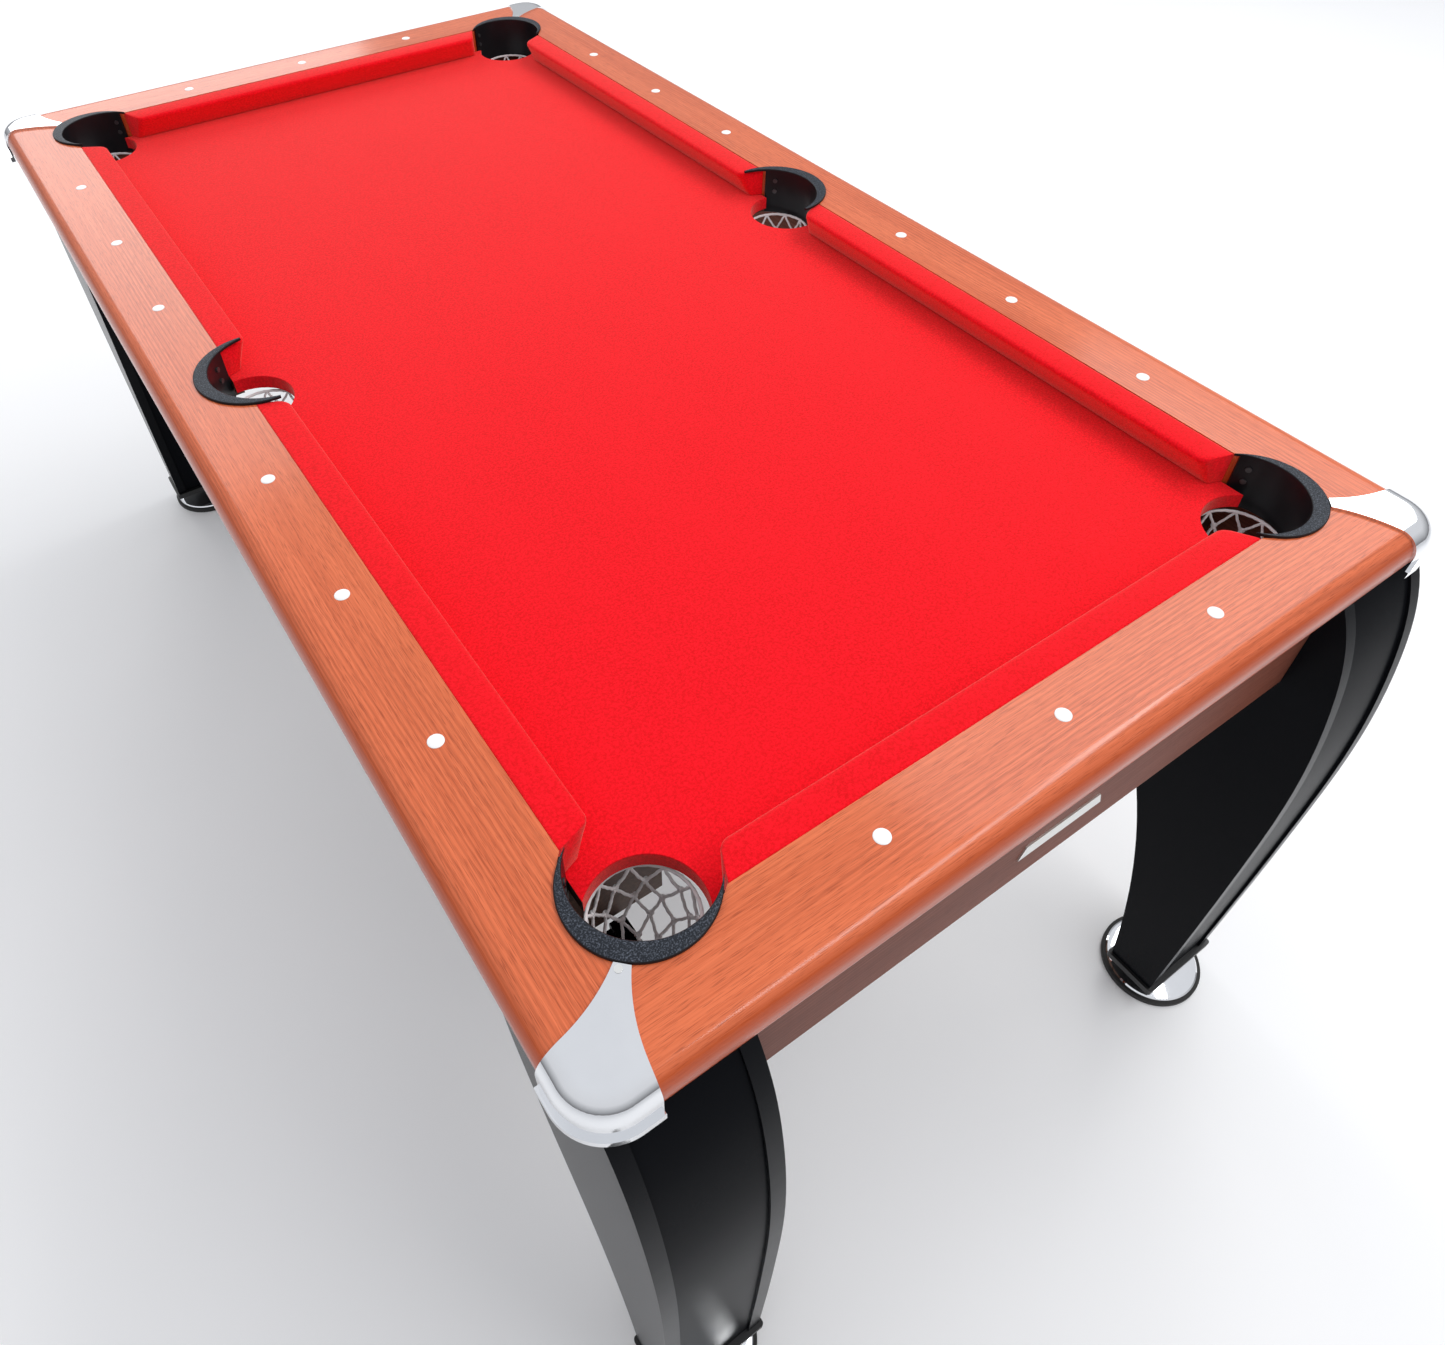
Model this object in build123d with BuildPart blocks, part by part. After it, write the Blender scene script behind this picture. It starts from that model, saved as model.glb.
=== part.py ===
"""Six-pocket net-drop pool table on four curved box legs with screw feet.

Millimetres, +Z up. The origin is on the floor under the table's centre: X runs across the
table, Y along it, "near" is -Y, "far" is +Y, "left" is -X and "right" is +X.
"""
import math
import os

from build123d import *

os.makedirs("parts", exist_ok=True)

# --- driving sizes -------------------------------------------------------------------------
TOP = 807.0            # rail tops above the floor
HALF_W = 470.0         # centre to outer rail edge, across
HALF_L = 877.0         # centre to outer rail edge, along
RAIL_W = 85.0          # laminated rail top, outer edge to cushion
RAIL_T = 41.0          # rail thickness
CORNER_R = 40.0        # rail frame's plan corner radius
NOSE_R = 20.0          # rounded upper edge of a rail
UNDER_R = 14.0         # rounded lower edge of a rail
IN_W = HALF_W - RAIL_W
IN_L = HALF_L - RAIL_W
CUSHION_W = 32.0       # rail face to cushion nose
NOSE_X = IN_W - CUSHION_W
NOSE_Y = IN_L - CUSHION_W

CLOTH_Z = TOP - 36.0   # playing surface
CLOTH_T = 1.0
BED_T = 15.0
BED_TOP = CLOTH_Z - CLOTH_T
BED_BOTTOM = BED_TOP - BED_T

SIGHT_PITCH = 189.0    # spacing of the round rail markers
SIGHT_X = 416.0
SIGHT_Y = 825.0
SIGHT_R = 7.0

APRON_T = 15.0
APRON_X = 441.0        # outer face of the side aprons
APRON_Y = 860.0        # outer face of the end aprons
APRON_LOW = TOP - 163.0
APRON_HIGH = TOP - RAIL_T - 0.1

# pockets: rim circle centre and radius, then the smaller drop circle, shifted into the table
CORNER_PC = (351.6, 756.0)
CORNER_RIM = 59.3
CORNER_HC = (341.7, 746.1)
CORNER_HOLE = 57.3
SIDE_PC = (360.6, 0.0)
SIDE_RIM = 68.2
SIDE_HC = (346.6, 0.0)
SIDE_HOLE = 66.2
WALL_T = 3.1           # liner wall thickness
RIM_T = 3.0            # liner rim, standing on the rail top
WALL_LOW = TOP - 60.0  # lower edge of the liner wall
CORNER_BED = (351.0, 763.0, 48.0)
SIDE_BED = (380.0, 0.0, 48.0)
CORNER_NET = (349.0, 755.0, 43.0)
SIDE_NET = (367.0, 0.0, 42.0)
NET_TOP = BED_BOTTOM - 3.0
NET_LOW = 655.0

# legs, drawn for the +X +Y corner
LEG_IN = 335.0         # inner face of the inner side board
LEG_OUT = 456.0        # outer face of the outer side board
BOARD_T = 15.0
LEG_TOP = TOP - RAIL_T - 2.2
LEG_LOW = 46.0
FRONT = [(872, LEG_TOP), (883, 745), (911, 656), (926, 545), (931, 391), (931, 202), (929.5, LEG_LOW)]
BACK = [(697, 640), (703, 590), (722.5, 523.5), (761, 429), (801, 334.5), (848, 164.4), (866, LEG_LOW)]
FOOT_X = 395.5
FOOT_Y = 898.0
STEM_R = 6.0

CORNERS = {"near_left": (-1, -1), "near_right": (1, -1), "far_left": (-1, 1), "far_right": (1, 1)}


def box(x0, x1, y0, y1, z0, z1):
    """Add an axis-aligned block to the open part, from its limits."""
    with Locations(((x0 + x1) / 2, (y0 + y1) / 2, (z0 + z1) / 2)):
        Box(abs(x1 - x0), abs(y1 - y0), abs(z1 - z0))


# --- small screws of the liners and caps: head centre and the way the shank points ------------
screws_at = []
for sx, sy in CORNERS.values():
    for angle in (-28.0, 118.0):
        ux = sx * math.cos(math.radians(angle))
        uy = sy * math.sin(math.radians(angle))
        for z in (TOP - 13.0, TOP - 28.0):
            wall = CORNER_HOLE - 1.5
            head = (sx * CORNER_HC[0] + wall * ux, sy * CORNER_HC[1] + wall * uy, z)
            screws_at.append((head, (ux, uy, 0)))
    tip = (CORNER_RIM + 4.7) * math.sqrt(0.5)
    screws_at.append(((sx * (CORNER_PC[0] + tip), sy * (CORNER_PC[1] + tip), TOP + RIM_T), (0, 0, -1)))
for sx in (-1, 1):
    for angle in (-42.0, 42.0):
        ux = sx * math.cos(math.radians(angle))
        uy = math.sin(math.radians(angle))
        for z in (TOP - 13.0, TOP - 28.0):
            wall = SIDE_HOLE - 1.5
            screws_at.append(((sx * SIDE_HC[0] + wall * ux, wall * uy, z), (ux, uy, 0)))

sights_at = [(sx * SIGHT_X, k * SIGHT_PITCH) for sx in (-1, 1) for k in (-3, -2, -1, 1, 2, 3)]
sights_at += [(k * SIGHT_PITCH, sy * SIGHT_Y) for sy in (-1, 1) for k in (-1, 0, 1)]

# --- rails: one rounded frame, mitred at the corners into four boards ------------------------
MITRE_IN = 85.0
MITRE_OUT = 10.0
rail_wedges = {
    "rail_left": [(-1, -1, 1), (-1, -1, 0), (-1, 1, 0), (-1, 1, 1)],
    "rail_right": [(1, -1, 1), (1, -1, 0), (1, 1, 0), (1, 1, 1)],
    "rail_near": [(-1, -1, 1), (-1, -1, 0), (1, -1, 0), (1, -1, 1)],
    "rail_far": [(-1, 1, 1), (-1, 1, 0), (1, 1, 0), (1, 1, 1)],
}
for label, wedge in rail_wedges.items():
    outline = []
    for sx, sy, inside in wedge:
        if inside:
            outline.append((sx * (IN_W - MITRE_IN), sy * (IN_L - MITRE_IN)))
        else:
            outline.append((sx * (HALF_W + MITRE_OUT), sy * (HALF_L + MITRE_OUT)))
    with BuildPart() as rail:
        with BuildSketch(Plane.XY.offset(TOP - RAIL_T)):
            RectangleRounded(2 * HALF_W, 2 * HALF_L, CORNER_R)
        extrude(amount=RAIL_T)
        fillet(rail.faces().sort_by(Axis.Z)[-1].edges(), NOSE_R)
        fillet(rail.faces().sort_by(Axis.Z)[0].edges(), UNDER_R)
        with BuildSketch(Plane.XY.offset(TOP - RAIL_T - 1)):
            Rectangle(2 * IN_W, 2 * IN_L)
            for sx, sy in CORNERS.values():
                with Locations((sx * CORNER_HC[0], sy * CORNER_HC[1])):
                    Circle(CORNER_HOLE + WALL_T + 0.3)
            for sx in (-1, 1):
                with Locations((sx * SIDE_HC[0], 0)):
                    Circle(SIDE_HOLE + WALL_T + 0.3)
        extrude(amount=RAIL_T + 2, mode=Mode.SUBTRACT)
        with BuildSketch(Plane.XY.offset(TOP)):
            with Locations(*sights_at):
                Circle(SIGHT_R)
        extrude(amount=-1.6, mode=Mode.SUBTRACT)
        for head, out in screws_at:
            with BuildSketch(Plane(origin=head, z_dir=out)):
                Circle(1.6)
            extrude(amount=15, mode=Mode.SUBTRACT)
        with BuildSketch(Plane.XY.offset(TOP - RAIL_T - 1)):
            with BuildLine():
                Polyline(*outline, close=True)
            make_face()
        extrude(amount=RAIL_T + 2, mode=Mode.INTERSECT)
    rail.part.label = label
    export_step(rail.part, f"parts/{label}.step")

# --- round rail markers ----------------------------------------------------------------------
with BuildPart() as rail_sights:
    with BuildSketch(Plane.XY.offset(TOP - 1.55)):
        with Locations(*sights_at):
            Circle(SIGHT_R - 0.05)
    extrude(amount=1.85)
rail_sights.part.label = "rail_sights"
export_step(rail_sights.part, "parts/rail_sights.step")

# --- cushions: rubber section behind a sloping nose, ends cut to the pocket jaws --------------
SECTION = [(0.2, -0.3), (29.0, -1.6), (31.2, -2.6), (32.0, -4.2), (31.4, -6.0), (17.0, -34.8), (0.2, -34.8)]
LONG_ENDS = (58.5, 72.0, 692.0, 703.2)      # side-pocket jaw at rail and nose, corner jaw at nose and rail
SHORT_ENDS = (286.0, 301.0)                 # corner jaw of the end cushions at nose and rail
for side, sx in (("left", -1), ("right", 1)):
    for end, sy in (("near", -1), ("far", 1)):
        with BuildPart() as cushion:
            with BuildSketch(Plane(origin=(0, 0, 0), x_dir=(1, 0, 0), z_dir=(0, -1, 0))):
                with BuildLine():
                    Polyline(*[(sx * (IN_W - d), TOP + h) for d, h in SECTION], close=True)
                make_face()
            extrude(amount=-sy * 710.0)
            with BuildSketch(Plane.XY.offset(CLOTH_Z - 5)):
                with BuildLine():
                    Polyline(
                        (sx * (IN_W + 1), sy * LONG_ENDS[0]),
                        (sx * (NOSE_X - 1), sy * LONG_ENDS[1]),
                        (sx * (NOSE_X - 1), sy * LONG_ENDS[2]),
                        (sx * (IN_W + 1), sy * LONG_ENDS[3]),
                        close=True,
                    )
                make_face()
            extrude(amount=50, mode=Mode.INTERSECT)
        cushion.part.label = f"cushion_{side}_{end}"
        export_step(cushion.part, f"parts/cushion_{side}_{end}.step")
for end, sy in (("near", -1), ("far", 1)):
    with BuildPart() as cushion:
        with BuildSketch(Plane.YZ.offset(-310)):
            with BuildLine():
                Polyline(*[(sy * (IN_L - d), TOP + h) for d, h in SECTION], close=True)
            make_face()
        extrude(amount=620)
        with BuildSketch(Plane.XY.offset(CLOTH_Z - 5)):
            with BuildLine():
                Polyline(
                    (-SHORT_ENDS[1], sy * (IN_L + 1)),
                    (-SHORT_ENDS[0], sy * (NOSE_Y - 1)),
                    (SHORT_ENDS[0], sy * (NOSE_Y - 1)),
                    (SHORT_ENDS[1], sy * (IN_L + 1)),
                    close=True,
                )
            make_face()
        extrude(amount=50, mode=Mode.INTERSECT)
    cushion.part.label = f"cushion_{end}"
    export_step(cushion.part, f"parts/cushion_{end}.step")

# --- bed: three boards butted over the cross beams, and one cloth glued over them -------------
BED_JOINT_Y = 300.0
bed_runs = [
    (-IN_L + 0.5, -BED_JOINT_Y - 0.1),
    (-BED_JOINT_Y + 0.1, BED_JOINT_Y - 0.1),
    (BED_JOINT_Y + 0.1, IN_L - 0.5),
]
cloth_runs = [(-IN_L + 0.5, IN_L - 0.5)]
for label, low, thick, runs in (
    ("playfield_bed", BED_BOTTOM, BED_T, bed_runs),
    ("bed_cloth", BED_TOP, CLOTH_T, cloth_runs),
):
    with BuildPart() as bed:
        with BuildSketch(Plane.XY.offset(low)):
            for start, stop in runs:
                with Locations((0, (start + stop) / 2)):
                    Rectangle(2 * IN_W - 1, stop - start)
            for sx, sy in CORNERS.values():
                with Locations((sx * CORNER_BED[0], sy * CORNER_BED[1])):
                    Circle(CORNER_BED[2], mode=Mode.SUBTRACT)
            for sx in (-1, 1):
                with Locations((sx * SIDE_BED[0], 0)):
                    Circle(SIDE_BED[2], mode=Mode.SUBTRACT)
        extrude(amount=thick)
    bed.part.label = label
    export_step(bed.part, f"parts/{label}.step")

# --- pocket liners: crescent rim on the rail, curved wall down the rail cut-out ---------------
for name, (sx, sy) in CORNERS.items():
    with BuildPart() as liner:
        with BuildSketch(Plane.XY.offset(TOP)):
            with Locations((sx * CORNER_PC[0], sy * CORNER_PC[1])):
                Circle(CORNER_RIM)
            with Locations((sx * CORNER_HC[0], sy * CORNER_HC[1])):
                Circle(CORNER_HOLE, mode=Mode.SUBTRACT)
        extrude(amount=RIM_T)
        with BuildSketch(Plane.XY.offset(WALL_LOW)):
            with Locations((sx * CORNER_HC[0], sy * CORNER_HC[1])):
                Circle(CORNER_HOLE + WALL_T)
                Circle(CORNER_HOLE, mode=Mode.SUBTRACT)
            with BuildLine():
                Polyline(
                    (0, 0),
                    (sx * (IN_W + 0.3), 0),
                    (sx * (IN_W + 0.3), sy * (IN_L - 12)),
                    (sx * (IN_W - 13), sy * (IN_L + 0.3)),
                    (0, sy * (IN_L + 0.3)),
                    close=True,
                )
            make_face(mode=Mode.SUBTRACT)
        extrude(amount=TOP - WALL_LOW)
        for head, out in screws_at:
            with BuildSketch(Plane(origin=head, z_dir=out)):
                Circle(1.6)
            extrude(amount=15, mode=Mode.SUBTRACT)
    liner.part.label = f"pocket_liner_{name}"
    export_step(liner.part, f"parts/pocket_liner_{name}.step")
for side, sx in (("left", -1), ("right", 1)):
    with BuildPart() as liner:
        with BuildSketch(Plane.XY.offset(TOP)):
            with Locations((sx * SIDE_PC[0], 0)):
                Circle(SIDE_RIM)
            with Locations((sx * SIDE_HC[0], 0)):
                Circle(SIDE_HOLE, mode=Mode.SUBTRACT)
            with Locations((sx * 358 / 2, 0)):
                Rectangle(358, 200, mode=Mode.SUBTRACT)
        extrude(amount=RIM_T)
        with BuildSketch(Plane.XY.offset(WALL_LOW)):
            with Locations((sx * SIDE_HC[0], 0)):
                Circle(SIDE_HOLE + WALL_T)
                Circle(SIDE_HOLE, mode=Mode.SUBTRACT)
            with Locations((sx * (IN_W + 0.3) / 2, 0)):
                Rectangle(IN_W + 0.3, 200, mode=Mode.SUBTRACT)
        extrude(amount=TOP - WALL_LOW)
        for head, out in screws_at:
            with BuildSketch(Plane(origin=head, z_dir=out)):
                Circle(1.6)
            extrude(amount=15, mode=Mode.SUBTRACT)
    liner.part.label = f"pocket_liner_{side}"
    export_step(liner.part, f"parts/pocket_liner_{side}.step")

with BuildPart() as small_screws:
    for head, out in screws_at:
        for radius, length in ((3.0, 1.4), (1.5, 14)):
            with BuildSketch(Plane(origin=head, z_dir=out)):
                Circle(radius)
            extrude(amount=length)
small_screws.part.label = "small_screws"
export_step(small_screws.part, "parts/small_screws.step")

# --- nets: thin eight-sided hanging cups ------------------------------------------------------
NET_SIDES = 8
# change of radius and height; the cup's floor comes after them
NET_LEVELS = [(0, NET_TOP), (-0.5, 682), (-15, 662)]
nets = {name: (sx * CORNER_NET[0], sy * CORNER_NET[1], CORNER_NET[2]) for name, (sx, sy) in CORNERS.items()}
nets["left"] = (-SIDE_NET[0], 0, SIDE_NET[2])
nets["right"] = (SIDE_NET[0], 0, SIDE_NET[2])
for name, (cx, cy, r) in nets.items():
    with BuildPart() as net:
        for grow, mode in ((0, Mode.ADD), (-2, Mode.SUBTRACT)):
            lowest = NET_LOW - grow
            levels = [(r + change + grow, z) for change, z in NET_LEVELS] + [(9 + grow / 2, lowest)]
            for (upper_r, upper_z), (lower_r, lower_z) in zip(levels, levels[1:]):
                with BuildSketch(Plane.XY.offset(upper_z)):
                    with Locations((cx, cy)):
                        RegularPolygon(upper_r, NET_SIDES)
                with BuildSketch(Plane.XY.offset(lower_z)):
                    with Locations((cx, cy)):
                        RegularPolygon(lower_r, NET_SIDES)
                loft(mode=mode)
    net.part.label = f"pocket_net_{name}"
    export_step(net.part, f"parts/pocket_net_{name}.step")

# --- corner caps: pressed shells over the mitres, tip against the pocket rim ------------------
CAP_T = 2.5
with BuildPart() as rail_block:
    with BuildSketch(Plane.XY.offset(TOP - RAIL_T - 10)):
        RectangleRounded(2 * HALF_W + 0.1, 2 * HALF_L + 0.1, CORNER_R)
    extrude(amount=RAIL_T + 10)
    fillet(rail_block.faces().sort_by(Axis.Z)[-1].edges(), NOSE_R)
EDGE = 56.0
for name, (sx, sy) in CORNERS.items():
    arc_a = [(HALF_W + 8, HALF_L - EDGE), (HALF_W, HALF_L - EDGE), (432, 813.5), (397, 795.2)]
    arc_b = [(HALF_W - (HALF_L - y), HALF_L - (HALF_W - x)) for x, y in arc_a]
    with BuildPart() as cap:
        with BuildSketch(Plane.XY.offset(TOP - RAIL_T - 1)):
            RectangleRounded(2 * (HALF_W + CAP_T), 2 * (HALF_L + CAP_T), CORNER_R + CAP_T)
        extrude(amount=RAIL_T + 1 + CAP_T)
        fillet(cap.faces().sort_by(Axis.Z)[-1].edges(), NOSE_R + CAP_T)
        with BuildSketch(Plane.XY.offset(TOP - RAIL_T - 2)):
            RectangleRounded(2 * (HALF_W + 5.5), 2 * (HALF_L + 5.5), CORNER_R + 5.5)
        extrude(amount=7)
        add(rail_block.part, mode=Mode.SUBTRACT)
        with BuildSketch(Plane.XY.offset(TOP - RAIL_T - 5)):
            with BuildLine():
                Line((sx * arc_a[0][0], sy * arc_a[0][1]), (sx * arc_a[1][0], sy * arc_a[1][1]))
                ThreePointArc(*[(sx * x, sy * y) for x, y in arc_a[1:]])
                Line((sx * arc_a[3][0], sy * arc_a[3][1]), (sx * arc_b[3][0], sy * arc_b[3][1]))
                ThreePointArc(*[(sx * x, sy * y) for x, y in arc_b[3:0:-1]])
                Polyline(
                    (sx * arc_b[1][0], sy * arc_b[1][1]),
                    (sx * arc_b[0][0], sy * arc_b[0][1]),
                    (sx * (HALF_W + 8), sy * (HALF_L + 8)),
                    (sx * arc_a[0][0], sy * arc_a[0][1]),
                )
            make_face()
            with Locations((sx * CORNER_PC[0], sy * CORNER_PC[1])):
                Circle(CORNER_RIM + 0.4, mode=Mode.SUBTRACT)
        extrude(amount=RAIL_T + 20, mode=Mode.INTERSECT)
        for head, out in screws_at:
            for radius, depth in ((3.05, 1.45), (1.6, 15)):
                with BuildSketch(Plane(origin=head, z_dir=out)):
                    Circle(radius)
                extrude(amount=depth, mode=Mode.SUBTRACT)
    cap.part.label = f"corner_cap_{name}"
    export_step(cap.part, f"parts/corner_cap_{name}.step")

# --- aprons under the rails -------------------------------------------------------------------
for end, sy in (("near", -1), ("far", 1)):
    with BuildPart() as apron:
        box(-APRON_X, APRON_X, sy * (APRON_Y - APRON_T), sy * APRON_Y, APRON_LOW, APRON_HIGH)
    apron.part.label = f"apron_{end}"
    export_step(apron.part, f"parts/apron_{end}.step")
for side, sx in (("left", -1), ("right", 1)):
    with BuildPart() as apron:
        run = APRON_Y - APRON_T
        box(sx * (APRON_X - APRON_T), sx * APRON_X, -run, run, APRON_LOW, APRON_HIGH)
    apron.part.label = f"apron_{side}"
    export_step(apron.part, f"parts/apron_{side}.step")

# --- blank plate on the near apron ------------------------------------------------------------
PLATE_Z = TOP - 115.0
with BuildPart() as name_plate:
    with BuildSketch(Plane(origin=(0, -APRON_Y, 0), x_dir=(1, 0, 0), z_dir=(0, -1, 0))):
        with BuildLine():
            Polyline((-51, PLATE_Z - 8.5), (51, PLATE_Z - 8.5), (45, PLATE_Z + 8.5), (-45, PLATE_Z + 8.5), close=True)
        make_face()
    extrude(amount=1.5)
name_plate.part.label = "name_plate"
export_step(name_plate.part, "parts/name_plate.step")

# --- timber under the bed: ledges on the aprons and two cross beams ---------------------------
apron_in_x = APRON_X - APRON_T
apron_in_y = APRON_Y - APRON_T
with BuildPart() as bed_supports:
    for sx, sy in CORNERS.values():
        box(sx * 372, sx * apron_in_x, sy * 75, sy * 640, BED_BOTTOM - 20, BED_BOTTOM)
    for sy in (-1, 1):
        box(-240, 240, sy * 779, sy * apron_in_y, BED_BOTTOM - 20, BED_BOTTOM)
        box(-371.9, 371.9, sy * 280, sy * 320, BED_BOTTOM - 55, BED_BOTTOM)
bed_supports.part.label = "bed_supports"
export_step(bed_supports.part, "parts/bed_supports.step")

with BuildPart() as leg_mount_panels:
    for sx, sy in CORNERS.values():
        box(sx * 294, sx * apron_in_x, sy * 679, sy * 693.8, APRON_LOW, BED_BOTTOM)
leg_mount_panels.part.label = "leg_mount_panels"
export_step(leg_mount_panels.part, "parts/leg_mount_panels.step")

# --- legs: two shaped side boards, bent front and back panels, base plate ---------------------
SCREW_Y = 893.0
SCREW_Z = 98.0
for name, (sx, sy) in CORNERS.items():
    with BuildPart() as boards:
        # outer board, full depth, outside the side apron
        with BuildSketch(Plane.YZ.offset(sx * (LEG_OUT - BOARD_T))):
            with BuildLine():
                Spline(*[(sy * y, z) for y, z in FRONT])
                Line((sy * FRONT[-1][0], LEG_LOW), (sy * BACK[-1][0], LEG_LOW))
                Spline(*[(sy * y, z) for y, z in BACK[::-1]])
                Polyline((sy * BACK[0][0], BACK[0][1]), (sy * 694, LEG_TOP), (sy * FRONT[0][0], LEG_TOP))
            make_face()
        extrude(amount=sx * BOARD_T)
        # inner board, stepped round the end apron and clear of the net above
        with BuildSketch(Plane.YZ.offset(sx * LEG_IN)):
            with BuildLine():
                Spline(*[(sy * y, z) for y, z in FRONT])
                Line((sy * FRONT[-1][0], LEG_LOW), (sy * BACK[-1][0], LEG_LOW))
                Spline(*[(sy * y, z) for y, z in BACK[::-1]])
                Polyline(
                    (sy * BACK[0][0], BACK[0][1]),
                    (sy * BACK[0][0], APRON_LOW - 0.5),
                    (sy * (APRON_Y + 0.3), APRON_LOW - 0.5),
                    (sy * (APRON_Y + 0.3), LEG_TOP),
                    (sy * FRONT[0][0], LEG_TOP),
                )
            make_face()
        extrude(amount=sx * BOARD_T)
        with BuildSketch(Plane.YZ.offset(sx * (LEG_OUT - BOARD_T))):
            with Locations((sy * SCREW_Y, SCREW_Z)):
                Circle(2.1)
        extrude(amount=sx * (BOARD_T + 2), mode=Mode.SUBTRACT)
    boards.part.label = f"leg_boards_{name}"
    export_step(boards.part, f"parts/leg_boards_{name}.step")

    with BuildPart() as front_panel:
        with BuildSketch(Plane.YZ.offset(sx * (LEG_IN + BOARD_T + 0.2))):
            with BuildLine():
                Spline(*[(sy * (y - 3), z) for y, z in FRONT])
                Line((sy * (FRONT[-1][0] - 3), LEG_LOW), (sy * (FRONT[-1][0] - 9), LEG_LOW))
                Spline(*[(sy * (y - 9), z) for y, z in FRONT[::-1]])
                Line((sy * (FRONT[0][0] - 9), LEG_TOP), (sy * (FRONT[0][0] - 3), LEG_TOP))
            make_face()
        extrude(amount=sx * (LEG_OUT - LEG_IN - 2 * BOARD_T - 0.4))
    front_panel.part.label = f"leg_front_{name}"
    export_step(front_panel.part, f"parts/leg_front_{name}.step")

with BuildPart() as leg_back_panels:
    for sx, sy in CORNERS.values():
        with BuildSketch(Plane.YZ.offset(sx * (LEG_IN + BOARD_T + 0.2))):
            with BuildLine():
                Spline(*[(sy * (y + 3), z) for y, z in BACK])
                Line((sy * (BACK[-1][0] + 3), LEG_LOW), (sy * (BACK[-1][0] + 9), LEG_LOW))
                Spline(*[(sy * (y + 9), z) for y, z in BACK[::-1]])
                Line((sy * (BACK[0][0] + 9), BACK[0][1]), (sy * (BACK[0][0] + 3), BACK[0][1]))
            make_face()
        extrude(amount=sx * (LEG_OUT - LEG_IN - 2 * BOARD_T - 0.4))
leg_back_panels.part.label = "leg_back_panels"
export_step(leg_back_panels.part, "parts/leg_back_panels.step")

with BuildPart() as leg_base_plates:
    with BuildSketch(Plane.XY.offset(LEG_LOW - 10)):
        for sx, sy in CORNERS.values():
            with Locations((sx * FOOT_X, sy * FOOT_Y)):
                RectangleRounded(129, 73, 4)
                Circle(STEM_R + 0.05, mode=Mode.SUBTRACT)
    extrude(amount=9.9)
leg_base_plates.part.label = "leg_base_plates"
export_step(leg_base_plates.part, "parts/leg_base_plates.step")

with BuildPart() as leg_screws:
    for sx, sy in CORNERS.values():
        with BuildSketch(Plane.YZ.offset(sx * (LEG_OUT + 0.05))):
            with Locations((sy * SCREW_Y, SCREW_Z)):
                Circle(3.8)
        extrude(amount=sx * 1.2)
        with BuildSketch(Plane.YZ.offset(sx * (LEG_OUT + 0.05))):
            with Locations((sy * SCREW_Y, SCREW_Z)):
                Circle(2.0)
        extrude(amount=-sx * 13)
leg_screws.part.label = "leg_screws"
export_step(leg_screws.part, "parts/leg_screws.step")

# --- screw feet: rubber tread, chromed bell, threaded stem with a hexagon ---------------------
for name, (sx, sy) in CORNERS.items():
    at = (sx * FOOT_X, sy * FOOT_Y, 0)
    foot_plane = Plane(origin=at, x_dir=(1, 0, 0), z_dir=(0, -1, 0))
    with BuildPart() as tread:
        with BuildSketch(foot_plane):
            with BuildLine():
                Polyline((48, 0), (66, 0), (67, 1.5), (67, 8), (66, 9), (62.2, 9), (62.2, 4), (48, 4), close=True)
            make_face()
        revolve(axis=Axis(at, (0, 0, 1)))
    tread.part.label = f"foot_tread_{name}"
    export_step(tread.part, f"parts/foot_tread_{name}.step")

    with BuildPart() as bell:
        with BuildSketch(foot_plane):
            with BuildLine():
                Polyline((STEM_R + 0.05, 12), (0, 12), (0, 4), (62, 4), (62, 9.5), (60, 11))
                Spline((60, 11), (42, 14.5), (24, 21), (16, 29))
                Polyline((16, 29), (STEM_R + 0.05, 29), (STEM_R + 0.05, 12))
            make_face()
        revolve(axis=Axis(at, (0, 0, 1)))
    bell.part.label = f"foot_bell_{name}"
    export_step(bell.part, f"parts/foot_bell_{name}.step")

    with BuildPart() as stem:
        with BuildSketch(Plane.XY.offset(12.05)):
            with Locations(at[:2]):
                Circle(STEM_R)
        extrude(amount=72)
        with BuildSketch(Plane.XY.offset(29.05)):
            with Locations(at[:2]):
                RegularPolygon(11, 6)
        extrude(amount=6.4)
    stem.part.label = f"foot_stem_{name}"
    export_step(stem.part, f"parts/foot_stem_{name}.step")
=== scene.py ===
"""Looks of a home pool table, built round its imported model.

Metres, +Z up, origin on the floor under the middle of the table. X runs across, Y along, and the
end with the blank plate is at -Y. Pieces are named after the parts that they stand for.
"""
import math
import random

import bpy
from mathutils import Matrix, Vector


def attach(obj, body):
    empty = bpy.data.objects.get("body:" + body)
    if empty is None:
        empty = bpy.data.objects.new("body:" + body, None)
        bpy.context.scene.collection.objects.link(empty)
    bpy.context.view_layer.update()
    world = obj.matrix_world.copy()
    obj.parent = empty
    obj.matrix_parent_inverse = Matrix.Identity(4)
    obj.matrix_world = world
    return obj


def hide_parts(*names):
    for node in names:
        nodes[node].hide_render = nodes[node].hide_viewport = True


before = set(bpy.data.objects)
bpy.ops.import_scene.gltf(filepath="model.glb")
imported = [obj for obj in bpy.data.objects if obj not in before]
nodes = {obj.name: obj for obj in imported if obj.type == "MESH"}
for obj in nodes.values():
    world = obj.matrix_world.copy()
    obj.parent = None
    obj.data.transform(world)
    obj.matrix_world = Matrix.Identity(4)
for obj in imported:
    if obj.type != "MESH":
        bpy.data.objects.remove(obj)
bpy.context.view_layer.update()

# --- Floor, light and camera -----------------------------------------------------------------
# The table stands on a plain pale floor in a light grey room, with soft lights on its right,
# beyond its far end and in front of it. The camera looks down from beyond the near left corner.


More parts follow.
